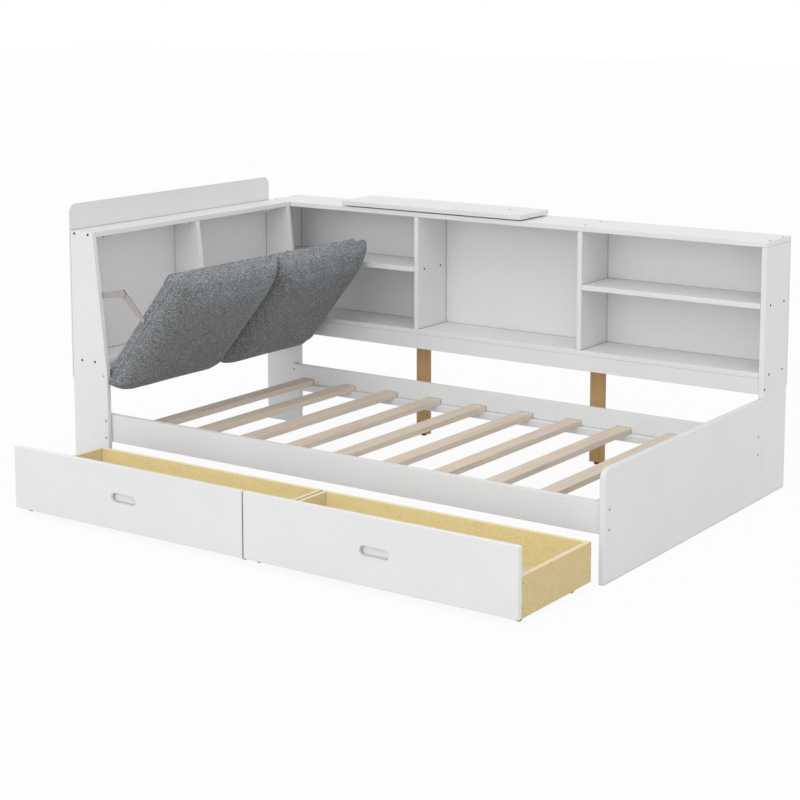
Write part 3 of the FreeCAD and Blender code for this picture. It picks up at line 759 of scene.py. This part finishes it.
def turned_wheels():
    for side in ("left", "right"):
        for end in ("front", "back"):
            for hand in ("left", "right"):
                node = "drawer_%s_wheel_%s_%s" % (side, end, hand)
                low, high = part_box(node)
                middle = (low + high) / 2
                radius = (high.z - low.z) / 2
                half = (high.x - low.x) / 2
                bm = bmesh.new()
                points = [bm.verts.new((middle.x + x * half, middle.y, middle.z + r * radius))
                          for x, r in WHEEL_PROFILE]
                edges = [bm.edges.new(pair) for pair in zip(points, points[1:] + points[:1])]
                bmesh.ops.spin(bm, geom=points + edges, cent=middle, axis=(1, 0, 0),
                               angle=2 * math.pi, steps=36, use_merge=True)
                bmesh.ops.remove_doubles(bm, verts=bm.verts, dist=1e-6)
                bmesh.ops.recalc_face_normals(bm, faces=bm.faces)
                wheel = mesh_piece(node + "_tread", bm, grey_plastic)
                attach(wheel, node)
                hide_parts(node)


# Camera, light and the studio
CAMERA_PLACE = (3.53715, -5.00652, 1.73863)
CAMERA_YAW = 0.602698
CAMERA_PITCH = 0.140079
CAMERA_LENS = 83.8226
CAMERA_SHIFT = (-0.015, -0.2)
LAMPS = (("key", 0.46, 40, (0.25, -0.55, 0.80)), ("front", 0.5, 50, (0, -1, 0.18)))
SOFT_LIGHT = 0.8
FLOOR_GLOW = 0.93


def studio():
    scene = bpy.context.scene
    scene.view_settings.view_transform = "Standard"
    lens = bpy.data.cameras.new("camera")
    lens.lens = CAMERA_LENS
    lens.sensor_width = 36
    lens.shift_x, lens.shift_y = CAMERA_SHIFT
    lens.clip_start = 0.05
    lens.clip_end = 200
    camera = bpy.data.objects.new("camera", lens)
    camera.location = CAMERA_PLACE
    camera.rotation_euler = (math.pi / 2 - CAMERA_PITCH, 0, CAMERA_YAW)
    scene.collection.objects.link(camera)
    scene.camera = camera

    world = bpy.data.worlds.new("studio")
    scene.world = world
    world.use_nodes = True
    tree = world.node_tree
    tree.nodes.clear()
    path = add(tree, "ShaderNodeLightPath")
    seen = add(tree, "ShaderNodeMath", {
        0: path.outputs["Is Camera Ray"], 1: path.outputs["Is Glossy Ray"]}, operation="ADD")
    seen = add(tree, "ShaderNodeMath", {
        0: seen.outputs["Value"], 1: path.outputs["Is Transmission Ray"]},
               operation="ADD", use_clamp=True)
    soft = add(tree, "ShaderNodeBackground", {
        "Color": (1, 1, 1, 1), "Strength": SOFT_LIGHT})
    white = add(tree, "ShaderNodeBackground", {"Color": (1, 1, 1, 1), "Strength": 1.0})
    mixed = add(tree, "ShaderNodeMixShader", {
        0: seen.outputs["Value"], 1: soft.outputs["Background"], 2: white.outputs["Background"]})
    add(tree, "ShaderNodeOutputWorld", {"Surface": mixed.outputs["Shader"]})

    for name, energy, angle, toward in LAMPS:
        sun = bpy.data.lights.new(name, "SUN")
        sun.energy = energy
        sun.angle = math.radians(angle)
        lamp = bpy.data.objects.new(name, sun)
        lamp.rotation_euler = Vector(toward).to_track_quat("Z", "Y").to_euler()
        scene.collection.objects.link(lamp)

    bm = bmesh.new()
    bmesh.ops.create_grid(bm, x_segments=1, y_segments=1, size=30)
    material = bpy.data.materials.new("studio_floor")
    material.use_nodes = True
    tree = material.node_tree
    tree.nodes.clear()
    path = add(tree, "ShaderNodeLightPath")
    pale = add(tree, "ShaderNodeBsdfDiffuse", {"Color": srgb("e9e9e9")})
    paper = add(tree, "ShaderNodeEmission", {"Color": (1, 1, 1, 1), "Strength": 1.0})
    share = add(tree, "ShaderNodeMath", {
        0: path.outputs["Is Camera Ray"], 1: FLOOR_GLOW}, operation="MULTIPLY")
    both = add(tree, "ShaderNodeMixShader", {
        0: share.outputs["Value"], 1: pale.outputs["BSDF"], 2: paper.outputs["Emission"]})
    add(tree, "ShaderNodeOutputMaterial", {"Surface": both.outputs["Shader"]})
    floor = mesh_piece("studio_floor", bm, material, smooth=False)


dress_frame()
upholster_doors()
frame_fasteners()
turned_wheels()
studio()
